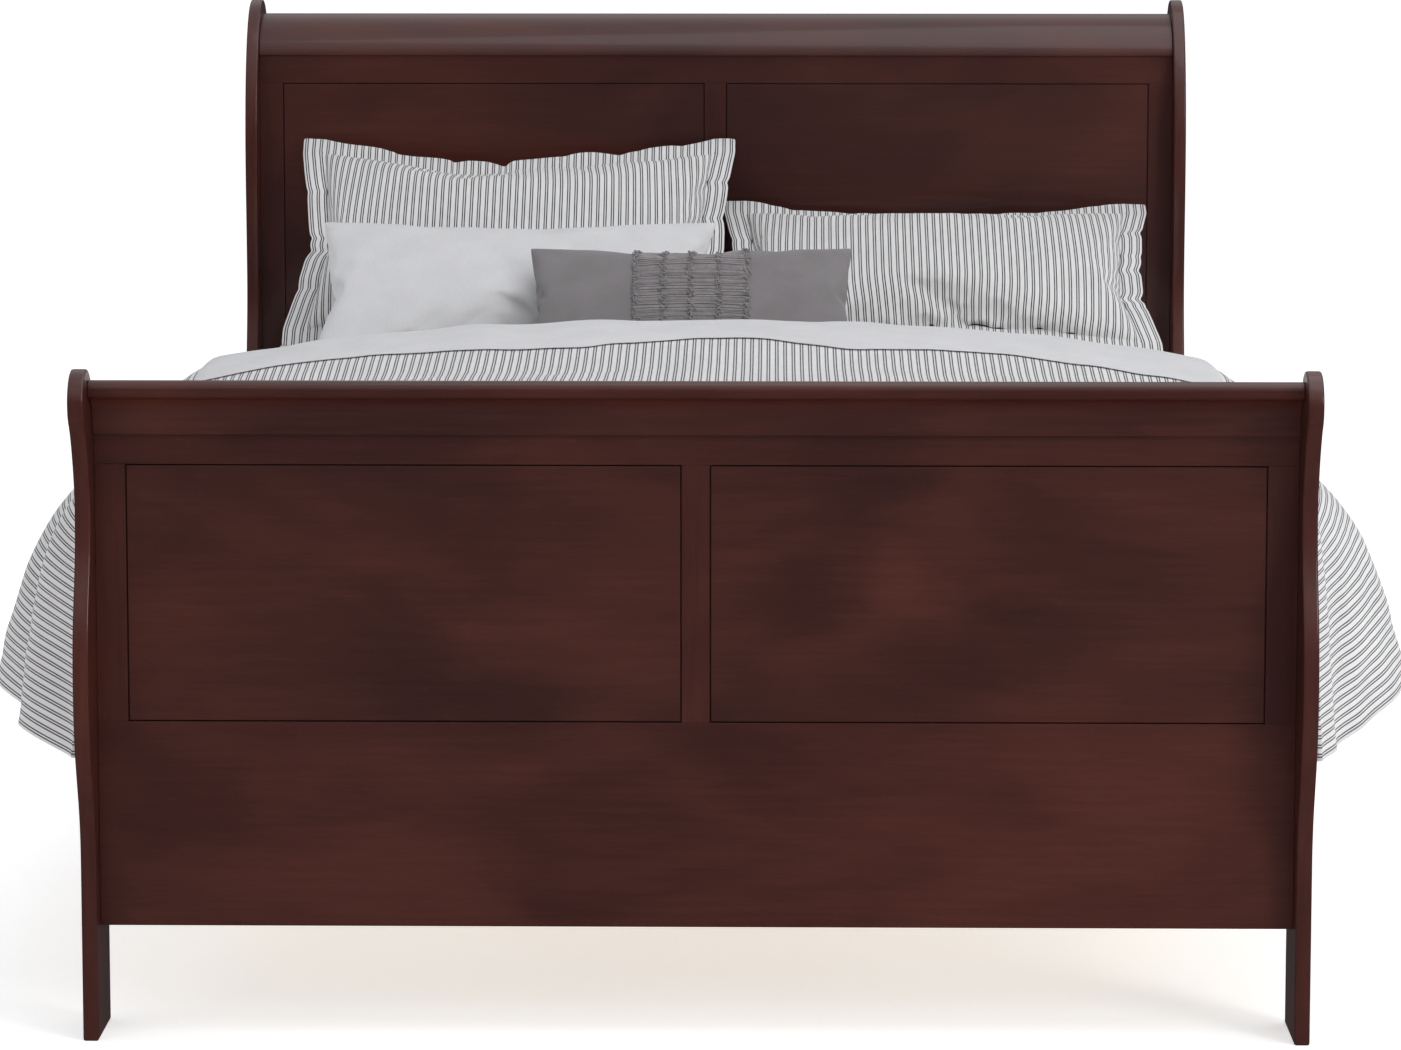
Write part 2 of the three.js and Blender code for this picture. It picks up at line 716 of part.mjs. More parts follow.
// ---------------------------------------------------------------------------------------
// Pillows: soft pads leaning back on the headboard
// ---------------------------------------------------------------------------------------
function pillow(width, tall, thickness, rim) {
  const geometry = new THREE.BoxGeometry(width, tall, 2, 12, 8, 1);
  const spot = geometry.attributes.position;
  for (let i = 0; i < spot.count; i += 1) {
    const u = Math.abs(spot.getX(i)) / (width / 2);
    const v = Math.abs(spot.getY(i)) / (tall / 2);
    const fill = Math.sqrt(Math.max(0, (1 - u ** 3) * (1 - v ** 3)));
    const half = rim / 2 + ((thickness - rim) / 2) * fill;
    spot.setZ(i, Math.sign(spot.getZ(i)) * half);
  }
  geometry.computeVertexNormals();
  return geometry;
}

// Each pillow is placed by the middle of its lower edge; `recline` is its angle from flat.
const pillows = [
  {
    name: 'sham_left', width: 750, tall: 480, thick: 100,
    x: -340, back: 395, up: 16, recline: 43, material: ticking,
  },
  {
    name: 'sham_right', width: 720, tall: 480, thick: 100,
    x: 400, back: 490, up: 24, recline: 27, material: ticking,
  },
  {
    name: 'pillow_white', width: 660, tall: 400, thick: 90,
    x: -345, back: 650, up: 18, recline: 29, material: whiteCotton,
  },
  {
    name: 'lumbar_pillow', width: 530, tall: 300, thick: 80,
    x: -35, back: 775, up: 14, recline: 38, material: greyCotton,
  },
];
for (const p of pillows) {
  const geometry = pillow(p.width, p.tall, p.thick, 10).translate(0, p.tall / 2, 0);
  const mesh = add(p.name, geometry, p.material);
  mesh.rotation.x = THREE.MathUtils.degToRad(p.recline);
  mesh.position.set(p.x, headY + headboard.frameRecess - p.back, mattressTop + p.up);
}

export default group;
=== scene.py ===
import math

import bmesh
import bpy
import numpy as np
from mathutils import Euler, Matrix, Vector, noise


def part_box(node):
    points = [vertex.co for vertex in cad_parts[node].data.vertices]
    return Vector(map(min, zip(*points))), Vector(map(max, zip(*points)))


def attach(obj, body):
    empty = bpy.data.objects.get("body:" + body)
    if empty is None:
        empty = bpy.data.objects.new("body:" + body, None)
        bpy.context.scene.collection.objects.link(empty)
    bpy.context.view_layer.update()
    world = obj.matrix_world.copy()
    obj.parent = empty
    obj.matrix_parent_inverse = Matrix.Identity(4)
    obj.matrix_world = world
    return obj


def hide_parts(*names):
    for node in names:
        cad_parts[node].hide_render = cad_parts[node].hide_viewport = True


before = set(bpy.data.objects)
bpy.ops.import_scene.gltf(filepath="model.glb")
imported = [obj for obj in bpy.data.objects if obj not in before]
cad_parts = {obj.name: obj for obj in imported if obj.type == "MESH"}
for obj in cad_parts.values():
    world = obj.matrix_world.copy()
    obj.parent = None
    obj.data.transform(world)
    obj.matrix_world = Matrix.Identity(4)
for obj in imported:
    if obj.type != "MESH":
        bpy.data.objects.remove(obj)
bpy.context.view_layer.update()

# ---------------------------------------------------------------------------------------------
# Camera
# Eye height of somebody standing six metres in front of the footboard, looking a little down.
# ---------------------------------------------------------------------------------------------
camera = bpy.data.objects.new("camera", bpy.data.cameras.new("camera"))
camera.data.sensor_width = 36
camera.data.lens = 124.9
camera.data.shift_y = -0.1
camera.data.clip_end = 300
camera.location = (0.103, -7.448, 1.635)
camera.rotation_euler = Euler((math.radians(90 - 6.77), 0, math.radians(0.87)))
bpy.context.collection.objects.link(camera)
bpy.context.scene.camera = camera

# ---------------------------------------------------------------------------------------------
# Studio: a plain pale floor under one soft light overhead and two tall soft boxes at the sides.
# The room is dim at eye height, so that the lacquer keeps its colour and only its edges shine.
# ---------------------------------------------------------------------------------------------
bpy.context.scene.view_settings.view_transform = "Standard"


class Value:
    """A socket of a node tree: sums and products of it in Python add the Math nodes."""

    def __init__(self, nodes, socket):
        self.nodes = nodes
        self.socket = socket

    def maths(self, operation, *others, clamp=False):
        terms = dict(enumerate((self, *others)))
        return self.nodes.node("Math", {"operation": operation, "use_clamp": clamp}, terms)

    def flipped(self, operation, other):
        return self.nodes.node("Math", {"operation": operation}, {0: other, 1: self})

    def __add__(self, other):
        return self.maths("ADD", other)

    def __radd__(self, other):
        return self.flipped("ADD", other)

    def __sub__(self, other):
        return self.maths("SUBTRACT", other)

    def __rsub__(self, other):
        return self.flipped("SUBTRACT", other)

    def __mul__(self, other):
        return self.maths("MULTIPLY", other)

    def __rmul__(self, other):
        return self.flipped("MULTIPLY", other)

    def __truediv__(self, other):
        return self.maths("DIVIDE", other)

    def between(self, low, high, start=0.0, end=1.0):
        """This value taken smoothly from low..high to start..end."""
        return self.nodes.node(
            "MapRange",
            {"interpolation_type": "SMOOTHSTEP"},
            {"Value": self, "From Min": low, "From Max": high, "To Min": start, "To Max": end},
        )


class Nodes:
    """The node tree of one material or of the studio's surroundings."""

    def __init__(self, owner):
        owner.use_nodes = True
        self.tree = owner.node_tree
        self.tree.nodes.clear()

    def node(self, kind, settings=(), sockets=(), out=0):
        """Adds a node: its settings first, then the values or links of its sockets."""
        made = self.tree.nodes.new("ShaderNode" + kind)
        for name, setting in dict(settings).items():
            if name == "stops":
                ramp = made.color_ramp.elements
                while len(ramp) < len(setting):
                    ramp.new(1.0)
                for stop, (place, colour) in zip(ramp, setting):
                    stop.position = place
                    stop.color = (*colour, 1.0)
            else:
                setattr(made, name, setting)
        for name, value in dict(sockets).items():
            if isinstance(value, Value):
                self.tree.links.new(value.socket, made.inputs[name])
            else:
                made.inputs[name].default_value = value
        return Value(self, made.outputs[out]) if made.outputs else None

    def mixed(self, share, first, second):
        """Two colours, of which `share` says how much of the second."""
        colours = {0: share, 6: first, 7: second}
        return self.node("Mix", {"data_type": "RGBA"}, colours, out=2)


surroundings = bpy.data.worlds.new("surroundings")
bpy.context.scene.world = surroundings
sky = Nodes(surroundings)
direction = sky.node("TexCoord", out="Generated")
height = sky.node("SeparateXYZ", sockets={0: direction}, out=2)
room = sky.node("Background", sockets={
    "Color": (0.97, 0.98, 1.0, 1), "Strength": height.between(0.02, 0.75, 0.06, 0.80),
})
backdrop = sky.node("Background", sockets={"Color": (0.95, 0.95, 0.955, 1), "Strength": 1.0})
seen = sky.node("LightPath", out="Is Camera Ray")
shown = sky.node("MixShader", sockets={0: seen, 1: room, 2: backdrop})
sky.node("OutputWorld", sockets={"Surface": shown})


def soft_box(name, place, aim, size, watts):
    """A square soft light at `place` that faces `aim`."""
    lamp = bpy.data.lights.new(name, "AREA")
    lamp.shape = "RECTANGLE"
    lamp.size, lamp.size_y = size
    lamp.energy = watts
    light = bpy.data.objects.new(name, lamp)
    light.location = place
    light.rotation_euler = (Vector(aim) - Vector(place)).to_track_quat("-Z", "Y").to_euler()
    bpy.context.collection.objects.link(light)


soft_box("overhead", (1.5, -1.0, 4.7), (0, -0.2, 0.6), (4.6, 4.4), 62)
soft_box("front_right", (5.2, -6.0, 3.4), (0, -0.4, 0.5), (2.2, 2.6), 152)
soft_box("front_left", (-5.2, -6.2, 3.2), (0, -0.4, 0.5), (1.8, 2.4), 5)

FLOOR = 60.0  # half its width
floor_mesh = bpy.data.meshes.new("floor")
floor_mesh.from_pydata(
    [(-FLOOR, -FLOOR, 0), (FLOOR, -FLOOR, 0), (FLOOR, FLOOR, 0), (-FLOOR, FLOOR, 0)],
    [], [(0, 1, 2, 3)],
)
floor = bpy.data.objects.new("floor", floor_mesh)
bpy.context.collection.objects.link(floor)
pale = bpy.data.materials.new("pale_floor")
paint = Nodes(pale)
paint.node("OutputMaterial", sockets={"Surface": paint.node(
    "BsdfPrincipled", sockets={
        "Base Color": (0.9, 0.9, 0.905, 1), "Roughness": 0.9,
        "Emission Color": (1.0, 1.0, 1.0, 1), "Emission Strength": 0.50,
    }
)})
floor_mesh.materials.append(pale)
floor.visible_glossy = False

# ---------------------------------------------------------------------------------------------
# Cherry boards: posts, rails, stiles and mullions, sawn from solid wood, stained dark red-brown
# and lacquered to a satin gloss. Every arris is eased. The four panels are veneered plywood.
# ---------------------------------------------------------------------------------------------
GRAIN = {"x": (0.045, 1.0, 1.0), "y": (1.0, 0.045, 1.0), "z": (1.0, 1.0, 0.045)}
FIGURE = {"x": (0.42, 1.0, 1.0), "y": (1.0, 0.42, 1.0), "z": (1.0, 1.0, 0.42)}


def cherry(name, along, dark, red, gloss=0.25):
    """Stained cherry whose grain runs along one axis, from `dark` to `red` in its figure."""
    material = bpy.data.materials.new(name)
    nodes = Nodes(material)
    place = nodes.node("TexCoord", out="Object")
    streaked = nodes.node("Mapping", sockets={"Vector": place, "Scale": GRAIN[along]})
    broad = nodes.node("Mapping", sockets={"Vector": place, "Scale": FIGURE[along]})
    figure = nodes.node("TexNoise", sockets={
        "Vector": broad, "Scale": 7.5, "Detail": 3.5, "Roughness": 0.5, "Distortion": 0.5,
    })
    cloud = nodes.node("TexNoise", sockets={"Vector": broad, "Scale": 2.6, "Detail": 1.0})
    streak = nodes.node("TexNoise", sockets={
        "Vector": streaked, "Scale": 130.0, "Detail": 4.0, "Roughness": 0.6,
    })
    pore = nodes.node("TexNoise", sockets={
        "Vector": streaked, "Scale": 900.0, "Detail": 1.0, "Roughness": 0.5,
    })
    warmth = (figure * 0.62 + cloud * 0.38).between(0.32, 0.70)
    tone = nodes.mixed(warmth, (*dark, 1), (*red, 1))
    line = streak.between(0.30, 0.70, 0.90, 1.08) * pore.between(0.28, 0.42, 0.86, 1.0)
    shaded = nodes.node("VectorMath", {"operation": "SCALE"}, {"Vector": tone, "Scale": line})
    fleck = pore.between(0.70, 0.78, 0.0, 0.16)
    colour = nodes.mixed(fleck, shaded, (0.16, 0.08, 0.07, 1))
    relief = nodes.node("Bump", sockets={
        "Height": pore * 0.4 + streak * 0.6, "Strength": 0.22, "Distance": 0.0004,
    })
    surface = nodes.node("BsdfPrincipled", sockets={
        "Base Color": colour,
        "Roughness": gloss + figure * 0.14,
        "Normal": relief,
        "Specular IOR Level": 0.38,
        "Coat Weight": 0.32,
        "Coat Roughness": 0.07,
    })
    nodes.node("OutputMaterial", sockets={"Surface": surface})
    return material


def finished(node, material, ease):
    """A copy of a CAD board with its arrises eased by `ease` and smooth faces, in its finish."""
    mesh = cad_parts[node].data.copy()
    work = bmesh.new()
    work.from_mesh(mesh)
    bmesh.ops.remove_doubles(work, verts=work.verts, dist=2e-5)
    bmesh.ops.dissolve_limit(work, angle_limit=math.radians(0.4),
                             verts=work.verts, edges=work.edges)
    if ease:
        sharp = math.radians(40)
        arrises = [e for e in work.edges if e.is_manifold and e.calc_face_angle() > sharp]
        bmesh.ops.bevel(work, geom=arrises, offset=ease, segments=2, profile=0.5,
                        affect="EDGES", clamp_overlap=True)
    work.to_mesh(mesh)
    work.free()
    mesh.materials.clear()
    mesh.materials.append(material)
    mesh.shade_smooth()
    mesh.set_sharp_from_angle(angle=math.radians(38))
    board = bpy.data.objects.new(node + "_board", mesh)
    bpy.context.collection.objects.link(board)
    weights = board.modifiers.new("flat_faces", "WEIGHTED_NORMAL")
    weights.keep_sharp = True
    applied(board)
    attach(board, "bed")
    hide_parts(node)
    return board


def applied(piece):
    """Turns what a piece's modifiers make of it into its own plain mesh."""
    view = bpy.context.evaluated_depsgraph_get()
    made = bpy.data.meshes.new_from_object(piece.evaluated_get(view), depsgraph=view)
    old = piece.data
    piece.modifiers.clear()
    piece.data = made
    made.name = piece.name
    if not old.users:
        bpy.data.meshes.remove(old)


DARK = (0.045, 0.0110, 0.0085)
RED = (0.081, 0.0177, 0.0111)
upright_wood = cherry("cherry_upright", "z", DARK, RED)
cross_wood = cherry("cherry_crosswise", "x", DARK, RED)
rail_wood = cherry("cherry_lengthwise", "y", DARK, RED)
veneer = cherry("cherry_veneer", "x", (0.039, 0.0097, 0.0076), (0.083, 0.0174, 0.0102),
                gloss=0.28)

names = list(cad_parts)
BOARDS = (  # how a board's own name starts, its finish, how far its arrises are eased, its slot
    ("post", upright_wood, 0, "cherry_wood"),
    ("stile", upright_wood, 0.0006, "cherry_wood"),
    ("mullion", upright_wood, 0.0006, "cherry_wood"),
    ("scroll_rail", cross_wood, 0.0008, "cherry_wood"),
    ("top_rail", cross_wood, 0.0008, "cherry_wood"),
    ("bottom_rail", cross_wood, 0.0008, "cherry_wood"),
    ("panel", veneer, 0.0004, "cherry_veneer"),
    ("side_rail", rail_wood, 0.0015, "cherry_wood"),
)
for group in ("footboard_", "headboard_", "side_rail"):
    for name in names:
        if name.startswith(group):
            part = name.removeprefix("footboard_").removeprefix("headboard_")
            for start, wood, ease, slot in BOARDS:
                if part.startswith(start):
                    finished(name, wood, ease)

# ---------------------------------------------------------------------------------------------
# Under the mattress: pine cleats, slats, centre beam and legs, bare and planed; zinc-plated hook
# plates that hang the side rails on the posts; black screw feet; turned cherry bolt caps.
# ---------------------------------------------------------------------------------------------
def pine(name, along):
    """Bare planed pine whose grain runs along one axis, with its rings and a few small knots."""
    material = bpy.data.materials.new(name)
    nodes = Nodes(material)
    place = nodes.node("TexCoord", out="Object")
    streaked = nodes.node("Mapping", sockets={"Vector": place, "Scale": GRAIN[along]})
    rings = nodes.node("TexNoise", sockets={
        "Vector": streaked, "Scale": 55.0, "Detail": 3.0, "Distortion": 1.2,
    })
    fibre = nodes.node("TexNoise", sockets={"Vector": streaked, "Scale": 620.0, "Detail": 2.0})
    spread = nodes.node("Mapping", sockets={"Vector": place, "Scale": FIGURE[along]})
    knot = nodes.node("TexVoronoi", sockets={"Vector": spread, "Scale": 2.4})
    pale = nodes.mixed(rings.between(0.38, 0.66), (0.66, 0.47, 0.25, 1), (0.46, 0.27, 0.115, 1))
    colour = nodes.mixed(knot.between(0.03, 0.055, 1.0, 0.0), pale, (0.17, 0.075, 0.03, 1))
    relief = nodes.node("Bump", sockets={
        "Height": fibre + rings, "Strength": 0.3, "Distance": 0.0005,
    })
    nodes.node("OutputMaterial", sockets={"Surface": nodes.node("BsdfPrincipled", sockets={
        "Base Color": colour, "Roughness": 0.55 + fibre * 0.2, "Normal": relief,
    })})
    return material


def plated(name, colour, metallic, rough, brushed):
    """Zinc plate or moulded plastic, with a fine mottle in its gloss."""
    material = bpy.data.materials.new(name)
    nodes = Nodes(material)
    place = nodes.node("TexCoord", out="Object")
    mottle = nodes.node("TexNoise", sockets={"Vector": place, "Scale": 160.0, "Detail": 3.0})
    stroke = nodes.node("Mapping", sockets={"Vector": place, "Scale": brushed})
    brush = nodes.node("TexNoise", sockets={"Vector": stroke, "Scale": 1400.0})
    relief = nodes.node("Bump", sockets={"Height": brush, "Strength": 0.15, "Distance": 0.0002})
    dim = tuple(0.72 * c for c in colour)
    nodes.node("OutputMaterial", sockets={"Surface": nodes.node("BsdfPrincipled", sockets={
        "Base Color": nodes.mixed(mottle.between(0.35, 0.65), (*dim, 1), (*colour, 1)),
        "Roughness": rough + mottle * 0.2, "Metallic": metallic, "Normal": relief,
    })})
    return material


lengthwise_pine = pine("pine_lengthwise", "y")
UNDERSIDE = (  # how a node's name starts, and its finish; the cleats come before the slats
    ("slat_cleat", lengthwise_pine),
    ("centre_beam", lengthwise_pine),
    ("slat_", pine("pine_crosswise", "x")),
    ("support_leg", pine("pine_upright", "z")),
    ("hook_plate", plated("zinc_plate", (0.56, 0.57, 0.58), 1.0, 0.32, (1.0, 1.0, 0.03))),
    ("screw_foot", plated("black_plastic", (0.014, 0.014, 0.015), 0.0, 0.42, (1.0, 1.0, 1.0))),
)
for name in names:
    for start, finish in UNDERSIDE:
        if name.startswith(start):
            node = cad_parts[name]
            node.data.materials.clear()
            node.data.materials.append(finish)
            break
cap_wood = cherry("cherry_cap", "x", DARK, RED, gloss=0.22)
for side in ("left", "right"):
    finished("bolt_cap_" + side, cap_wood, 0)

# ---------------------------------------------------------------------------------------------
# Foundation and mattress: boxes with soft corners. The foundation wears a plain woven cover, the
# mattress a quilted knit with a stuffed top, a quilted border and a taped edge all round.
# ---------------------------------------------------------------------------------------------
def cloth_finish(name, pale, shade, weave=0.0011, stripes=None, sheen=0.25, rough=0.82):
    """Woven cloth: a fine over-and-under weave on the piece's own UV map, which is in metres."""
    material = bpy.data.materials.new(name)
    nodes = Nodes(material)
    flat = nodes.node("UVMap", {"uv_map": "cloth"})
    across, along = (nodes.node("SeparateXYZ", sockets={0: flat}, out=axis) for axis in (0, 1))
    turn = 2 * math.pi / weave
    warp = (across * turn).maths("SINE")
    weft = (along * turn).maths("SINE")
    cloud = nodes.node("TexNoise", sockets={"Vector": flat, "Scale": 14.0, "Detail": 4.0})
    slub = nodes.node("TexNoise", sockets={
        "Vector": nodes.node("Mapping", sockets={"Vector": flat, "Scale": (1.0, 0.06, 1.0)}),
        "Scale": 900.0, "Detail": 2.0,
    })
    colour = nodes.mixed(cloud.between(0.3, 0.7), (*shade, 1), (*pale, 1))
    thread = warp * weft * 0.06 + slub * 0.16 + 0.86
    colour = nodes.node("VectorMath", {"operation": "SCALE"}, {"Vector": colour, "Scale": thread})
    if stripes:
        repeat, lines, ink = stripes
        at = (across / repeat + 64.0).maths("FRACT") * repeat
        marks, blur = 0.0, 0.0002
        for start, width in lines:
            begun = at.between(start - blur, start + blur)
            ended = at.between(start + width - blur, start + width + blur, 1.0, 0.0)
            marks = begun * ended + marks
        yarn = slub.between(0.25, 0.6, 0.86, 1.0)
        colour = nodes.mixed(marks * yarn, colour, (*ink, 1))
    relief = nodes.node("Bump", sockets={
        "Height": warp * weft + slub, "Strength": 0.35, "Distance": 0.00025,
    })
    nodes.node("OutputMaterial", sockets={"Surface": nodes.node("BsdfPrincipled", sockets={
        "Base Color": colour, "Roughness": rough + cloud * 0.1, "Normal": relief,
        "Sheen Weight": sheen, "Sheen Roughness": 0.5,
    })})
    return material


def grid_piece(name, rows, flat, material):
    """A mesh from rows of points, with `flat` places of the same points as its UV map."""
    points = np.asarray(rows, dtype=float)
    flat = np.asarray(flat, dtype=float)
    m, n = points.shape[:2]
    number = np.arange(m * n).reshape(m, n)
    a, b = number[:-1, :-1].ravel(), number[:-1, 1:].ravel()
    c, d = number[1:, 1:].ravel(), number[1:, :-1].ravel()
    faces = np.stack([a, b, c, d], axis=1)
    mesh = bpy.data.meshes.new(name)
    mesh.from_pydata(points.reshape(-1, 3).tolist(), [], faces.tolist())
    uv = mesh.uv_layers.new(name="cloth")
    corners = np.zeros(len(mesh.loops), dtype=np.int32)
    mesh.loops.foreach_get("vertex_index", corners)
    uv.data.foreach_set("uv", flat.reshape(-1, 2)[corners].ravel())
    mesh.materials.append(material)
    mesh.shade_smooth()
    piece = bpy.data.objects.new(name, mesh)
    bpy.context.collection.objects.link(piece)
    return piece


def outward(piece):
    """Turns every face of a closed piece to the outside."""
    work = bmesh.new()
    work.from_mesh(piece.data)
    bmesh.ops.remove_doubles(work, verts=work.verts, dist=1e-6)
    bmesh.ops.recalc_face_normals(work, faces=work.faces)
    work.to_mesh(piece.data)
    work.free()
    piece.data.shade_smooth()


def ring_of(width, length, corner, count, y_middle):
    """Points round a rectangle with rounded corners, with their distance along it."""
    dense, steps = [], 24
    across, along = width / 2 - corner, length / 2 - corner
    for quarter, (sx, sy) in enumerate(((1, 1), (-1, 1), (-1, -1), (1, -1))):
        for step in range(steps + 1):
            turn = math.pi / 2 * (quarter + step / steps)
            dense.append((sx * across + corner * math.cos(turn),
                          sy * along + corner * math.sin(turn)))
    dense.append(dense[0])
    dense = np.array(dense)
    run = np.concatenate([[0], np.cumsum(np.linalg.norm(np.diff(dense, axis=0), axis=1))])
    at = np.linspace(0, run[-1], count + 1)
    x, y = (np.interp(at, run, dense[:, k]) for k in (0, 1))
    return np.stack([x, y + y_middle], axis=1), at


ROUND_STEPS, SIDE_STEPS, TOP_STEPS = 8, 24, 22


def soft_box_piece(name, node, material, corner, edge, border, crown, count=420):
    """A mattress-like box: a sewn border round it, and a stuffed top and bottom."""
    low, high = (np.array(v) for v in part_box(node))
    size, middle = high - low, (low + high) / 2
    wall = size[2] - 2 * edge
    lower = []
    for k in range(ROUND_STEPS + 1):
        turn = math.pi / 2 * k / ROUND_STEPS
        lower.append((edge * (1 - math.sin(turn)), low[2] + edge * (1 - math.cos(turn))))
    side = [(0.0, low[2] + edge + wall * k / SIDE_STEPS) for k in range(1, SIDE_STEPS)]
    upper = [(inset, high[2] - (z - low[2])) for inset, z in lower[::-1]]
    rows, flat = [], []
    run_up, previous = 0.0, lower[0]
    for inset, z in lower + side + upper:
        ring, at = ring_of(size[0] - 2 * inset, size[1] - 2 * inset,
                           max(corner - inset, 0.004), count, middle[1])
        share = (z - low[2] - edge) / wall
        puff = border(at, share) if 0 < share < 1 else np.zeros(len(ring))
        away = ring - np.array([0.0, middle[1]])
        away = np.sign(away) * (np.abs(away) > size[:2] / 2 - corner)
        reach = np.maximum(np.linalg.norm(away, axis=1, keepdims=True), 1e-6)
        ring = ring - away / reach * puff[:, None]
        run_up += math.hypot(inset - previous[0], z - previous[1])
        previous = (inset, z)
        rows.append(np.column_stack([ring, np.full(len(ring), z)]))
        flat.append(np.column_stack([at, np.full(len(at), run_up)]))
    inner = size[:2] - 2 * edge
    for end, base in ((-1, low[2]), (1, high[2])):
        face_rows, face_flat = [], []
        for k in range(1, TOP_STEPS + 1):
            inset = edge + inner.min() / 2 * (k / TOP_STEPS) ** 1.4
            ring, _ = ring_of(max(size[0] - 2 * inset, 0.002), size[1] - 2 * inset,
                              max(corner - inset, 0.001), count, middle[1])
            rise = crown(ring[:, 0], ring[:, 1], inset - edge) * end
            face_rows.append(np.column_stack([ring, base + rise]))
            face_flat.append(ring)
        if end > 0:
            rows, flat = rows + face_rows, flat + face_flat
        else:
            rows, flat = face_rows[::-1] + rows, face_flat[::-1] + flat
    piece = grid_piece(name, rows, flat, material)
    outward(piece)
    return piece


DIAMOND = 0.21  # from corner to corner of the top's quilting
CHANNEL, BORDER_SEAMS = 0.11, (0.06, 0.5, 0.94)


def mattress_border(at, share):
    """How far the quilted border is drawn in: rows of leaf-shaped channels."""
    channel = np.abs(np.sin(math.pi * (at / CHANNEL + 0.35 * math.sin(2 * math.pi * share))))
    seam = min(abs(share - s) for s in BORDER_SEAMS) / 0.03
    return 0.006 * np.exp(-(channel / 0.14) ** 2) + 0.007 * math.exp(-seam ** 2)


def mattress_crown(x, y, inset):
    """The quilted top: diamonds drawn down along their stitch lines, less so near the edge."""
    one_way, other_way = (np.abs(np.sin(math.pi * run / DIAMOND)) for run in (x + y, x - y))
    diamond = np.minimum(one_way, other_way)
    return -0.005 * np.exp(-(diamond / 0.16) ** 2) * min(1.0, inset / 0.04)


mattress_cover = cloth_finish("mattress_knit", (0.80, 0.79, 0.76), (0.74, 0.73, 0.70),
                              weave=0.0016)
mattress = soft_box_piece("mattress_pad", "mattress", mattress_cover, 0.06, 0.03,
                          mattress_border, mattress_crown)
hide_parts("mattress")
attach(mattress, "bed")

foundation_cover = cloth_finish("foundation_weave", (0.70, 0.68, 0.63), (0.64, 0.62, 0.57),
                                weave=0.0014)
foundation = soft_box_piece(
    "foundation_box", "foundation", foundation_cover, 0.04, 0.012,
    lambda at, share: 0.0015 + 0.0015 * np.sin(at * 9) * math.sin(math.pi * share),
    lambda x, y, inset: np.full(len(x), -0.001 * min(1.0, inset / 0.05)), count=300,
)
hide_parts("foundation")
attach(foundation, "bed")

# ---------------------------------------------------------------------------------------------
# Pillows: two shams of striped ticking with a flat flange, a plain white pillow and a grey lumbar
# cushion. Each is two flat pieces of cloth sewn round the edge, then stuffed: the stuffing pulls
# the sides in between the corners and puckers the seams.
# ---------------------------------------------------------------------------------------------
TICKING = (0.0127, ((0.0030, 0.0020), (0.0068, 0.0020)), (0.024, 0.024, 0.026))
ticking = cloth_finish("striped_ticking", (0.82, 0.812, 0.82), (0.775, 0.767, 0.775),
                       stripes=TICKING)
percale = cloth_finish("white_percale", (0.735, 0.732, 0.75), (0.69, 0.688, 0.705),
                       weave=0.0008)
grey_weave = cloth_finish("grey_weave", (0.218, 0.202, 0.21), (0.190, 0.175, 0.182),
                          weave=0.0013)
PRESSURE, STUFFING_STEPS = 3.2, 26


def stuffed(piece):
    """Blows a sewn case up from inside with Blender's Cloth, and keeps the result."""
    cloth = piece.modifiers.new("stuffing", "CLOTH")
    how = cloth.settings
    how.quality = 6
    how.mass = 0.12
    how.tension_stiffness = how.compression_stiffness = how.shear_stiffness = 22
    how.bending_stiffness = 0.35
    how.tension_damping = how.compression_damping = how.shear_damping = 12
    how.air_damping = 3
    how.use_pressure = True
    how.uniform_pressure_force = PRESSURE
    how.effector_weights.gravity = 0
    cloth.collision_settings.use_collision = False
    cloth.point_cache.frame_start = 1
    cloth.point_cache.frame_end = STUFFING_STEPS
    for step in range(1, STUFFING_STEPS + 1):
        bpy.context.scene.frame_set(step)
    applied(piece)
    bpy.context.scene.frame_set(1)


def both_faces(number, other):
    """The faces of a case's front and back, over the numbers of their points."""
    faces = []
    for numbers, order in ((number, 1), (other, -1)):
        quads = np.stack([numbers[:-1, :-1], numbers[1:, :-1], numbers[1:, 1:],
                          numbers[:-1, 1:]], axis=2)
        faces += [tuple(q[::order]) for q in quads.reshape(-1, 4).tolist()]
    return faces


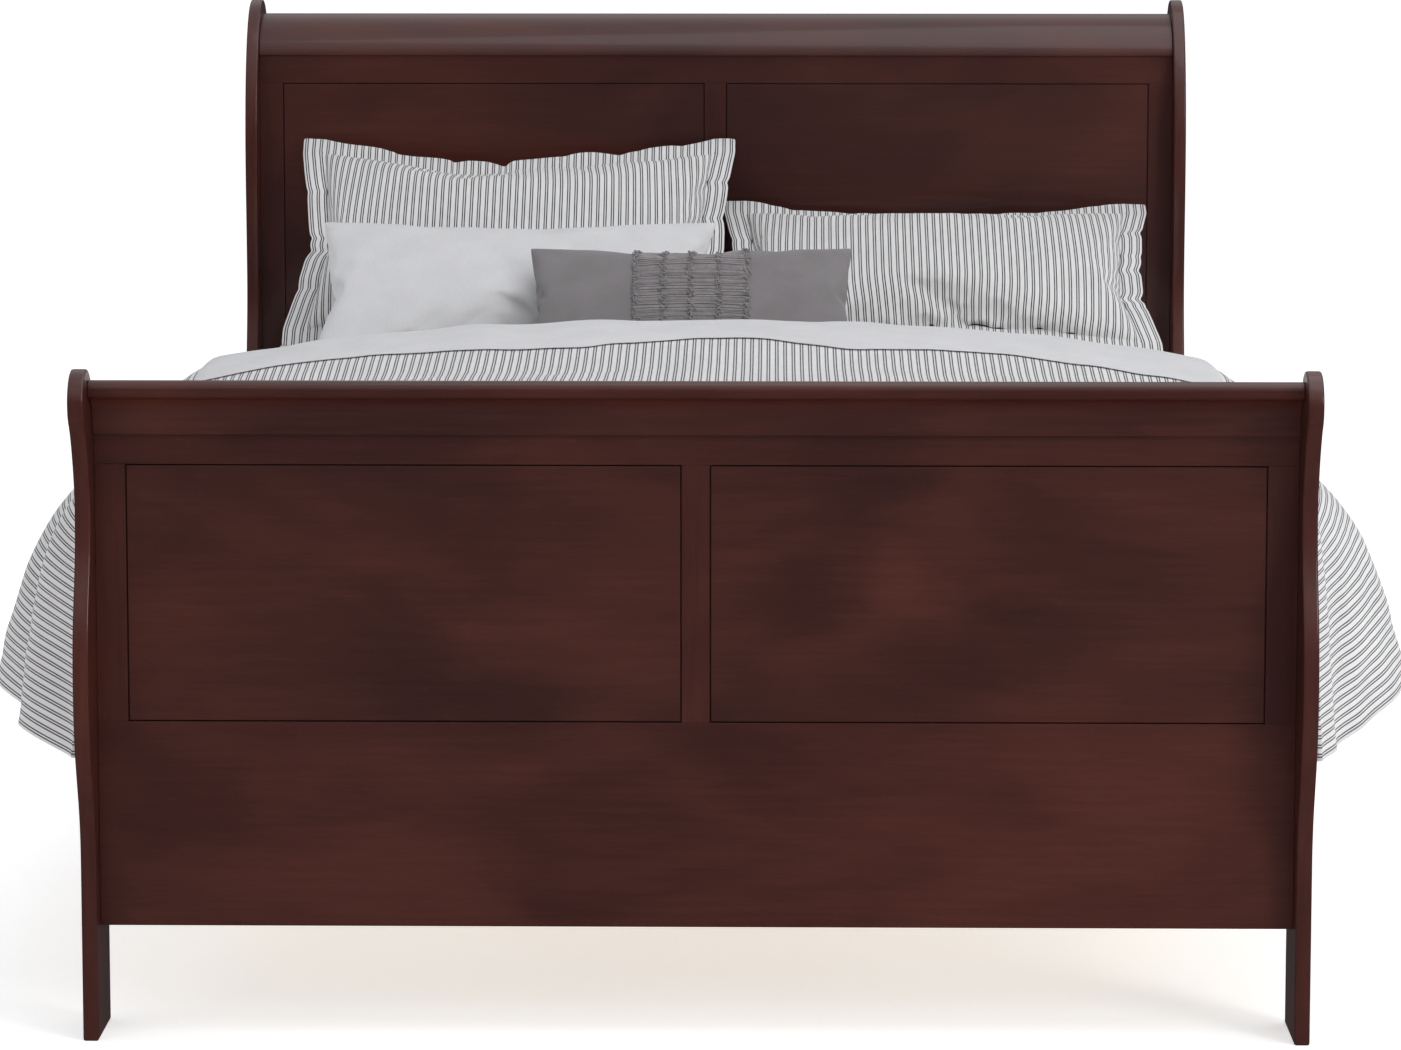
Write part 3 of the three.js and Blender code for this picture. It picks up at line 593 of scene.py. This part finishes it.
def case_body(name, width, tall, across, up, plump, crumple, seed):
    """Front and back of a stuffed case as two grids of points that share their edge."""
    u = np.linspace(-1, 1, across)
    v = np.linspace(-1, 1, up)
    grid_u, grid_v = np.meshgrid(u, v, indexing="ij")
    hill = np.sqrt(np.clip((1 - grid_u ** 4) * (1 - grid_v ** 4), 0, 1))
    flat = np.stack([grid_u * width / 2, grid_v * tall / 2], axis=2)
    uneven = np.zeros_like(hill)
    for i in range(across):
        for j in range(up):
            spot = Vector((flat[i, j, 0] * 9 + seed, flat[i, j, 1] * 9, seed * 0.37))
            uneven[i, j] = noise.noise(spot)
    start = hill * (0.010 + crumple * uneven)
    front, back = np.dstack([flat, start]), np.dstack([flat, -start])
    number = np.arange(across * up).reshape(across, up)
    back_number = number + across * up
    rim = np.ones((across, up), bool)
    rim[1:-1, 1:-1] = False
    back_number[rim] = number[rim]
    mesh = bpy.data.meshes.new(name + "_case")
    points = np.concatenate([front.reshape(-1, 3), back.reshape(-1, 3)])
    mesh.from_pydata(points.tolist(), [], both_faces(number, back_number))
    piece = bpy.data.objects.new(name + "_case", mesh)
    bpy.context.collection.objects.link(piece)
    stuffed(piece)
    spots = np.zeros(len(piece.data.vertices) * 3)
    piece.data.vertices.foreach_get("co", spots)
    spots = spots.reshape(-1, 3)
    bpy.data.objects.remove(piece)
    front, back = spots[number], spots[back_number]
    crest, hollow = front[:, :, 2].max(), back[:, :, 2].min()
    for half in (front, back):
        half[:, :, 2] = (half[:, :, 2] - (crest + hollow) / 2) * plump / (crest - hollow)
    return front, back, flat


def flanged(half, flat, side, flange, rings, wave, seed):
    """A half of a case with its flange laid round it, `side` being 1 for the front."""
    across, up = half.shape[:2]
    out = np.zeros((across + 2 * rings, up + 2 * rings, 3))
    out_flat = np.zeros((across + 2 * rings, up + 2 * rings, 2))
    step = flange / rings
    for i in range(out.shape[0]):
        for j in range(out.shape[1]):
            a, b = min(max(i - rings, 0), across - 1), min(max(j - rings, 0), up - 1)
            di, dj = (i - rings - a) * step, (j - rings - b) * step
            spot = half[a, b].copy()
            flat_spot = flat[a, b] + np.array([di, dj])
            away = math.hypot(di, dj) / flange
            rise = noise.noise(Vector((*(flat_spot * 11), seed))) * wave * away
            spot[2] += rise + side * (0.0008 if away else 0.0)
            out[i, j] = spot + np.array([di, dj, 0])
            out_flat[i, j] = flat_spot
    return out, out_flat


def sewn(name, front, back, flat, material):
    """One closed piece from the two halves, joined round the edge."""
    m, n = front.shape[:2]
    far = m * n
    number = np.arange(far).reshape(m, n)
    spots = np.concatenate([front.reshape(-1, 3), back.reshape(-1, 3)])
    faces = both_faces(number, number + far)
    edge = [*number[:, 0], *number[-1, 1:], *number[-2::-1, -1], *number[0, -2:0:-1]]
    for a, b in zip(edge, edge[1:] + edge[:1]):
        faces.append((a, a + far, b + far, b))
    mesh = bpy.data.meshes.new(name)
    mesh.from_pydata(spots.tolist(), [], [tuple(int(k) for k in f) for f in faces])
    uv = mesh.uv_layers.new(name="cloth")
    corners = np.zeros(len(mesh.loops), dtype=np.int32)
    mesh.loops.foreach_get("vertex_index", corners)
    both = np.concatenate([flat.reshape(-1, 2), flat.reshape(-1, 2)])
    uv.data.foreach_set("uv", both[corners].ravel())
    mesh.materials.append(material)
    piece = bpy.data.objects.new(name, mesh)
    bpy.context.collection.objects.link(piece)
    outward(piece)
    return piece


MATTRESS_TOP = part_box("mattress")[1][2]
UNDER_PILLOW, SINK = 0.004, 0.012


def placed(points, tall, spot, recline):
    """Case points (x, up the case, out of its front) where the pillow leans, on the mattress."""
    tilt = math.radians(recline)
    x, up, out = points[..., 0], points[..., 1] + tall / 2, points[..., 2]
    y = spot[1] + up * math.cos(tilt) - out * math.sin(tilt)
    z = spot[2] + up * math.sin(tilt) + out * math.cos(tilt)
    bed_z = MATTRESS_TOP + UNDER_PILLOW
    pressed = bed_z + SINK * np.exp((z - bed_z - SINK) / SINK)
    return np.stack([x + spot[0], y, np.where(z < bed_z + SINK, pressed, z)], axis=-1)


FLANGE, FLANGE_ROWS, FLANGE_WAVE = 0.036, 4, 0.010
pillows = (
    dict(name="sham_left", size=(0.716, 0.428), plump=0.125, spot=(-0.342, 0.641, 0.732),
         recline=42, flanged=True, finish=ticking, slot="striped_ticking", fill=0.55,
         crumple=0.006, seed=3, grid=(84, 54)),
    dict(name="sham_right", size=(0.690, 0.43), plump=0.125, spot=(0.382, 0.546, 0.736),
         recline=26, flanged=True, finish=ticking, slot="striped_ticking", fill=0.55,
         crumple=0.006, seed=8, grid=(84, 54)),
    dict(name="pillow_white", size=(0.690, 0.415), plump=0.115, spot=(-0.326, 0.386, 0.736),
         recline=30.5, flanged=False, finish=percale, slot="white_cotton", fill=0.5,
         crumple=0.004, seed=5, grid=(82, 50)),
    dict(name="lumbar_pillow", size=(0.550, 0.308), plump=0.105, spot=(-0.031, 0.261, 0.730),
         recline=38, flanged=False, finish=grey_weave, slot="grey_cotton", fill=0.75,
         crumple=0.003, seed=11, grid=(82, 48)),
)
cases = {}
for pillow in pillows:
    width, tall = pillow["size"]
    *halves, flat = case_body(pillow["name"], width, tall, *pillow["grid"], pillow["plump"],
                              pillow["crumple"], pillow["seed"])
    if pillow["flanged"]:
        tall += 2 * FLANGE
        edged = [flanged(half, flat, side, FLANGE, FLANGE_ROWS, FLANGE_WAVE, pillow["seed"])
                 for half, side in zip(halves, (1, -1))]
        halves, flat = [half for half, _ in edged], edged[0][1]
    halves = [placed(half, tall, pillow["spot"], pillow["recline"]) for half in halves]
    cases[pillow["name"]] = (halves[0], flat)
    piece = sewn(pillow["name"] + "_case", *halves, flat, pillow["finish"])
    smooth = piece.modifiers.new("rounding", "SUBSURF")
    smooth.levels = smooth.render_levels = 1
    applied(piece)
    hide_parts(pillow["name"])
    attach(piece, "bed")

# ---------------------------------------------------------------------------------------------
# Fringe of the lumbar cushion: grey yarn couched side by side across the middle of its front, and
# caught down by five upright rows of knots whose curled ends stand up from the cloth.
# ---------------------------------------------------------------------------------------------
class Geometry:
    """A Geometry Nodes tree with named inputs, ready to be run on a piece."""

    def __init__(self, name, **sizes):
        self.tree = bpy.data.node_groups.new(name, "GeometryNodeTree")
        face = self.tree.interface
        face.new_socket("Geometry", in_out="INPUT", socket_type="NodeSocketGeometry")
        self.keys = {}
        for size, value in sizes.items():
            kind = "NodeSocketInt" if isinstance(value, int) else "NodeSocketFloat"
            self.keys[size] = face.new_socket(size, in_out="INPUT", socket_type=kind).identifier
        face.new_socket("Geometry", in_out="OUTPUT", socket_type="NodeSocketGeometry")
        self.sizes = sizes
        self.given = self.tree.nodes.new("NodeGroupInput").outputs

    def node(self, kind, sockets=(), out=0, **settings):
        made = self.tree.nodes.new(kind)
        for name, setting in settings.items():
            setattr(made, name, setting)
        for name, value in dict(sockets).items():
            if isinstance(value, bpy.types.NodeSocket):
                self.tree.links.new(value, made.inputs[name])
            else:
                made.inputs[name].default_value = value
        return made.outputs[out]

    def run(self, piece, last, material):
        """Finishes the tree, runs it on `piece` and keeps the plain mesh it makes."""
        real = self.node("GeometryNodeRealizeInstances", {"Geometry": last})
        done = self.node("GeometryNodeSetMaterial", {"Geometry": real, "Material": material})
        self.tree.links.new(done, self.tree.nodes.new("NodeGroupOutput").inputs[0])
        modifier = piece.modifiers.new("made", "NODES")
        modifier.node_group = self.tree
        for size, value in self.sizes.items():
            modifier[self.keys[size]] = value
        applied(piece)
        piece.data.shade_smooth()
        return piece


def lines_object(name, lines, closed=False):
    """A mesh of bare lines, one for each list of points."""
    spots, edges = [], []
    for line in lines:
        first = len(spots)
        spots += [tuple(map(float, p)) for p in line]
        edges += [(k, k + 1) for k in range(first, len(spots) - 1)]
        if closed:
            edges.append((len(spots) - 1, first))
    mesh = bpy.data.meshes.new(name)
    mesh.from_pydata(spots, edges, [])
    piece = bpy.data.objects.new(name, mesh)
    bpy.context.collection.objects.link(piece)
    return piece


def corded(name, lines, radius, sides, material, closed=False):
    """Round cord, yarn or piping of one radius along every line."""
    made = Geometry(name + "_lay", Radius=radius, Sides=sides)
    path = made.node("GeometryNodeMeshToCurve", {"Mesh": made.given["Geometry"]})
    profile = made.node("GeometryNodeCurvePrimitiveCircle",
                        {"Resolution": made.given["Sides"], "Radius": made.given["Radius"]})
    cord = made.node("GeometryNodeCurveToMesh",
                     {"Curve": path, "Profile Curve": profile, "Fill Caps": True})
    return made.run(lines_object(name, lines, closed), cord, material)


def yarn_finish(name, pale, shade):
    """Twisted yarn: fuzzy, with a fine uneven twist."""
    material = bpy.data.materials.new(name)
    nodes = Nodes(material)
    place = nodes.node("TexCoord", out="Object")
    twist = nodes.node("TexNoise", sockets={"Vector": place, "Scale": 700.0, "Detail": 3.0})
    worn = nodes.node("TexNoise", sockets={"Vector": place, "Scale": 60.0, "Detail": 2.0})
    lit = (twist * 0.6 + worn * 0.4).between(0.35, 0.65)
    nodes.node("OutputMaterial", sockets={"Surface": nodes.node("BsdfPrincipled", sockets={
        "Base Color": nodes.mixed(lit, (*shade, 1), (*pale, 1)),
        "Roughness": 0.84 + worn * 0.1, "Sheen Weight": 0.35,
        "Normal": nodes.node("Bump", sockets={
            "Height": twist, "Strength": 0.5, "Distance": 0.0004,
        }),
    })})
    return material


yarn = yarn_finish("grey_yarn", (0.330, 0.308, 0.318), (0.225, 0.208, 0.215))
lumbar_front, lumbar_flat = cases["lumbar_pillow"]
lumbar_tall = lumbar_flat[0, -1, 1] - lumbar_flat[0, 0, 1]


def on_front(x, up):
    """The point of the cushion's front, and the way out from it, at a place on the flat cloth."""
    m, n = lumbar_flat.shape[:2]
    start, wide = lumbar_flat[0, 0], lumbar_flat[-1, 0, 0] - lumbar_flat[0, 0, 0]
    i = np.clip((x - start[0]) / wide * (m - 1), 0, m - 1.001)
    j = np.clip((up - start[1]) / lumbar_tall * (n - 1), 0, n - 1.001)
    a, b = int(i), int(j)
    s, t = i - a, j - b
    p = lumbar_front
    spot = ((1 - s) * (1 - t) * p[a, b] + s * (1 - t) * p[a + 1, b]
            + (1 - s) * t * p[a, b + 1] + s * t * p[a + 1, b + 1])
    out = np.cross(p[a + 1, b] - p[a, b], p[a, b + 1] - p[a, b])
    return spot, out / max(np.linalg.norm(out), 1e-9)


YARN_RADIUS, YARN_STEP = 0.0011, 0.0026
BAND, KNOT_ROWS, KNOT_STEP = 0.094, 5, 0.0031
draw = np.random.default_rng(17)
yarns = []
for up in np.arange(-lumbar_tall / 2 + 0.012, lumbar_tall / 2 - 0.010, YARN_STEP):
    lean, lift = draw.uniform(-0.0009, 0.0009, 2)
    line = []
    for x in np.linspace(-BAND, BAND, 34):
        sway = 0.0008 * noise.noise(Vector((x * 30, up * 90, 0.5)))
        spot, out = on_front(x, up + lean + sway)
        line.append(spot + out * (0.0007 + 0.4 * abs(lift)))
    yarns.append(line)
fringe = corded("lumbar_yarns", yarns, YARN_RADIUS, 6, yarn)
knots = []
for middle in np.linspace(-BAND + 0.004, BAND - 0.004, KNOT_ROWS):
    for up in np.arange(-lumbar_tall / 2 + 0.010, lumbar_tall / 2 - 0.008, KNOT_STEP):
        for _ in range(2):
            x = middle + draw.normal(0, 0.0026)
            spot, out = on_front(x, up + draw.uniform(-0.0015, 0.0015))
            knots.append(spot + out * draw.uniform(0.0014, 0.0036))
tufts = lines_object("lumbar_knots", [[k] for k in knots])
curl = Geometry("knot_curls", Radius=0.0007, Curl=0.0024, Rise=0.0034, Seed=5)
spiral = curl.node("GeometryNodeCurveSpiral", {
    "Resolution": 9, "Rotations": 1.2, "Start Radius": curl.given["Curl"],
    "End Radius": curl.given["Radius"], "Height": curl.given["Rise"],
})
thread = curl.node("GeometryNodeCurvePrimitiveCircle",
                   {"Resolution": 5, "Radius": curl.given["Radius"]})
one = curl.node("GeometryNodeCurveToMesh",
                {"Curve": spiral, "Profile Curve": thread, "Fill Caps": True})
turn = curl.node("FunctionNodeRandomValue", {
    0: (0.0, 0.0, 0.0), 1: (6.28, 6.28, 6.28), "Seed": curl.given["Seed"],
}, data_type="FLOAT_VECTOR")
size = curl.node("FunctionNodeRandomValue",
                 {2: 0.7, 3: 1.3, "Seed": curl.given["Seed"]}, out=1)
spread = curl.node("GeometryNodeInstanceOnPoints", {
    "Points": curl.given["Geometry"], "Instance": one, "Rotation": turn, "Scale": size,
})
curl.run(tufts, spread, yarn)
for piece in (fringe, tufts):
    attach(piece, "bed")

# ---------------------------------------------------------------------------------------------
# Mattress piping: a corded tape sewn round the upper and the lower edge of the border.
# ---------------------------------------------------------------------------------------------
PIPING_RADIUS, PIPING_INSET, PIPING_FROM_FACE = 0.0045, 0.002, 0.022
low, high = (np.array(v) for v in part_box("mattress"))
wide, deep = high[:2] - low[:2] - PIPING_INSET
ring, _ = ring_of(wide, deep, 0.06, 360, (low[1] + high[1]) / 2)
pipes = [np.column_stack([ring[:-1], np.full(len(ring) - 1, z)])
         for z in (low[2] + PIPING_FROM_FACE, high[2] - PIPING_FROM_FACE)]
tape = yarn_finish("piping_tape", (0.66, 0.65, 0.62), (0.58, 0.57, 0.54))
piping = corded("mattress_piping", pipes, PIPING_RADIUS, 8, tape, closed=True)
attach(piping, "bed")

# ---------------------------------------------------------------------------------------------
# Comforter: a striped ticking quilt, lightly filled, laid over the mattress with its foot end
# tucked behind the footboard. Both sides hang free and flare into folds below the mattress edge.
# ---------------------------------------------------------------------------------------------
COMFORTER_FOOT, COMFORTER_HEAD, TUCK = -0.989, 0.150, -1.058
THICKNESS = 0.011
SHOULDER, EDGE_X, DROP = 0.735, 0.782, 0.400
FLAT_TOP, CROWN, CROWN_REACH = 0.737, 0.057, 0.80
DRAWN_FROM = -0.86  # the place along the bed from which the cloth is drawn down to its tuck
FOLDS_LEFT = (  # places along the bed, and how far out from its middle the hem stands there
    (-0.990, 0.846), (-0.925, 0.930), (-0.860, 0.866), (-0.735, 0.988), (-0.620, 0.870),
    (-0.495, 0.978), (-0.380, 0.870), (-0.245, 0.972), (-0.120, 0.872), (0.010, 0.945),
    (0.20, 0.89),
)
FOLDS_RIGHT = (
    (-0.990, 0.846), (-0.945, 0.868), (-0.715, 0.990), (-0.600, 0.880), (-0.455, 0.980),
    (-0.330, 0.872), (-0.190, 0.972), (-0.070, 0.874), (0.040, 0.94), (0.20, 0.89),
)


def smooth_step(share):
    """A share of 0 to 1, eased at both ends."""
    return share * share * (3 - 2 * share)


def eased(knots, y):
    """A smooth curve that is level at every knot, so that knots are crests and hollows."""
    y = np.clip(y, knots[0][0], knots[-1][0])
    at, value = np.array(knots).T
    k = np.clip(np.searchsorted(at, y, side="right") - 1, 0, len(at) - 2)
    share = (y - at[k]) / (at[k + 1] - at[k])
    return value[k] + (value[k + 1] - value[k]) * smooth_step(share)


def ripple(x, y, seed, size):
    """Smooth unevenness of cloth, from -1 to 1, over arrays of places."""
    return np.array([noise.noise(Vector((a / size, b / size, seed))) for a, b in
                     zip(np.ravel(x), np.ravel(y))]).reshape(np.shape(x))


def cover_top(x, crown, edge):
    """Height of a cover's upper face over the mattress: crowned, and level at the middle."""
    return edge + crown * np.clip(1 - (np.abs(x) / CROWN_REACH) ** 2.4, 0, 1)


HEM_FLARE = 0.38  # how much of its mean slope outwards the cloth keeps at the hem
BEND_AREA = 0.903  # the area under exp(-t ** 1.5), which is how the cloth turns down


def hang(run_line, spread, drop, top_x, crown, edge):
    """Half of a cover's section, by its run along the cloth: over the mattress edge, then down.

    `spread` is how far the hem stands beyond the edge, for each place along the bed."""
    tail = HEM_FLARE * spread / drop
    soft_run = np.maximum((spread - tail * drop) / (BEND_AREA * (1 - tail)), 0.012)
    past = np.clip(run_line - top_x, 0, None)
    outward_part = tail + (1 - tail) * np.exp(-(past / soft_run) ** 1.5)
    steps = np.diff(run_line, axis=0)
    middle = (outward_part[1:] + outward_part[:-1]) / 2
    falling = np.sqrt(np.clip(1 - middle ** 2, 0, 1)) * (past[1:] > 0)
    start = np.zeros_like(run_line[:1])
    x = np.concatenate([start, np.cumsum(middle * steps, axis=0)])
    z = np.concatenate([start, np.cumsum(-falling * steps, axis=0)])
    return x, z + cover_top(np.minimum(x, top_x), crown, edge)


def head_rise(y):
    """How much a cover lifts towards its folded upper end."""
    return 0.024 * smooth_step(np.clip((y + 0.16) / 0.24, 0, 1))


def cover_waves(x, y):
    """The soft unevenness of the filling, pressed flatter under the folded sheet."""
    pressed = 1 - 0.6 * np.clip((y + 0.12) / 0.10, 0, 1)
    long_waves = 0.0060 * ripple(x, y * 0.30, 1.7, 0.085)
    return (long_waves + 0.0022 * ripple(x, y, 6.3, 0.040)) * pressed


s_half = np.concatenate([np.linspace(0, SHOULDER - 0.04, 58, endpoint=False),
                         np.linspace(SHOULDER - 0.04, SHOULDER + 0.09, 14, endpoint=False),
                         np.linspace(SHOULDER + 0.09, EDGE_X + DROP, 34)])
s_line = np.concatenate([-s_half[:0:-1], s_half])
y_line = np.linspace(COMFORTER_FOOT, COMFORTER_HEAD, 184)
s_grid, y_grid = np.meshgrid(s_line, y_line, indexing="ij")
on_top = smooth_step(1 - np.clip((np.abs(s_grid) - 0.715) / 0.05, 0, 1))
near_foot = np.clip((DRAWN_FROM - y_grid) / (DRAWN_FROM - COMFORTER_FOOT), 0, 1)
y_cloth = y_grid + (TUCK - COMFORTER_FOOT) * on_top * near_foot ** 1.3
left_hem, right_hem = eased(FOLDS_LEFT, y_grid), eased(FOLDS_RIGHT, y_grid)
x_cloth, z_cloth = np.zeros_like(s_grid), np.zeros_like(s_grid)
middle_row = len(s_half) - 1
for side, hem in ((-1, left_hem), (1, right_hem)):
    run = np.abs(s_grid[middle_row:]) if side > 0 else np.abs(s_grid[middle_row::-1])
    x_half, z_half = hang(run, hem[:len(run)] - EDGE_X, DROP, EDGE_X, CROWN, FLAT_TOP)
    half = slice(middle_row, None) if side > 0 else slice(middle_row, None, -1)
    x_cloth[half], z_cloth[half] = side * x_half, z_half
fallen = np.clip((np.abs(s_grid) - 0.80) / 0.30, 0, 1)
loose = (ripple(x_cloth * 0.5, y_cloth, 4.2, 0.09) * 0.5
         + ripple(s_grid, y_cloth, 9.1, 0.045) * 0.3)
x_cloth = x_cloth + np.sign(s_grid) * loose * 0.010 * fallen
free = 1 - np.clip(near_foot * 2, 0, 1)
y_cloth = y_cloth + fallen * 0.020 * np.sin(3.0 * y_grid + 1.0) * free
z_cloth = z_cloth + cover_waves(x_cloth, y_cloth) * (1 - fallen)
foot_dip = np.clip((-0.985 - y_cloth) / 0.07, 0, 1)
z_cloth = z_cloth - 0.030 * foot_dip ** 1.2 * on_top
z_cloth = z_cloth + head_rise(y_cloth) * (1 - fallen)
comforter = grid_piece("comforter_quilt", np.dstack([x_cloth, y_cloth, z_cloth]),
                       np.dstack([s_grid, y_grid]), ticking)
body = comforter.modifiers.new("filling", "SOLIDIFY")
body.thickness = THICKNESS
body.offset = 1.0
body.use_rim = True
applied(comforter)
comforter.data.shade_smooth()
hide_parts("comforter")
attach(comforter, "bed")

# ---------------------------------------------------------------------------------------------
# Top sheet: white percale, folded back over the upper end of the comforter. Its free edge lies
# in shallow waves across the stripes, and its fold stands in a soft roll before the pillows.
# ---------------------------------------------------------------------------------------------
CUFF_BACK, CUFF_RETURN, FOLD = 0.206, 0.10, 0.011
SHEET_SPREAD, SHEET_DROP, SHEET_THICKNESS = 0.055, 0.22, 0.0022
CLEAR, LOFT, ROLL = 0.0014, 0.0026, 0.007  # over the comforter, and how it rises to the fold
CUFF_EDGE = (  # places across the bed, and how far up it the free edge lies there
    (-1.0, -0.052), (-0.60, 0.010), (-0.20, -0.012), (-0.13, 0.012), (0.02, 0.048),
    (0.25, -0.015), (0.42, 0.002), (0.70, -0.035), (1.0, -0.052),
)
s_half = np.concatenate([np.linspace(0, 0.72, 60, endpoint=False), np.linspace(0.72, 0.98, 26)])
cuff_s = np.concatenate([-s_half[:0:-1], s_half])
from_middle = np.abs(cuff_s)
front_edge = eased(CUFF_EDGE, cuff_s)
level = np.zeros_like(cuff_s)
rows = []  # of the upper layer, the round of the fold and the layer under it
for share in np.linspace(0, 1, 30):
    y_row = front_edge + (CUFF_BACK - front_edge) * share
    rows.append((y_row, level, y_row))
for turn in np.linspace(0, math.pi, 12)[1:]:
    y_row = level + CUFF_BACK + FOLD * math.sin(turn)
    rows.append((y_row, level - FOLD * (1 - math.cos(turn)), y_row + FOLD * turn))
for share in np.linspace(0, 1, 12)[1:]:
    y_row = level + CUFF_BACK - CUFF_RETURN * share
    run = level + CUFF_BACK + FOLD * math.pi + CUFF_RETURN * share
    rows.append((y_row, level - 2 * FOLD, run))
x_half, z_half = hang(s_half[:, None], np.array([[SHEET_SPREAD]]), SHEET_DROP,
                      EDGE_X, CROWN, FLAT_TOP)
x_section = np.concatenate([-x_half[:0:-1, 0], x_half[:, 0]])
z_section = np.concatenate([z_half[:0:-1, 0], z_half[:, 0]])
on_bed = np.clip((0.84 - from_middle) / 0.06, 0, 1)
outside = 0.008 * np.sign(cuff_s) * np.clip((from_middle - 0.76) / 0.06, 0, 1)
cuff_points, cuff_flat = [], []
for y_row, sink, run in rows:
    lift = ripple(cuff_s, y_row * 0.8, 2.9, 0.10) * 0.004
    raised = np.clip((y_row - front_edge) / 0.12, 0, 1)
    x_row = x_section + np.sign(cuff_s) * sink * np.clip((from_middle - 0.77) / 0.04, 0, 1)
    over = head_rise(y_row) + cover_waves(x_row, y_row) + CLEAR + LOFT * raised
    plump = ROLL * raised * np.clip(1 - from_middle / 0.85, 0, 1)
    z_row = z_section + (over + sink + lift * raised) * on_bed + plump
    cuff_points.append(np.stack([x_row + outside, y_row, z_row], axis=1))
    cuff_flat.append(np.stack([cuff_s, run], axis=1))
cuff = grid_piece("sheet_fold", cuff_points, cuff_flat, percale)
body = cuff.modifiers.new("cloth", "SOLIDIFY")
body.thickness = SHEET_THICKNESS
body.offset = 1.0
fine = cuff.modifiers.new("rounding", "SUBSURF")
fine.levels = fine.render_levels = 1
applied(cuff)
outward(cuff)
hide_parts("sheet_cuff")
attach(cuff, "bed")
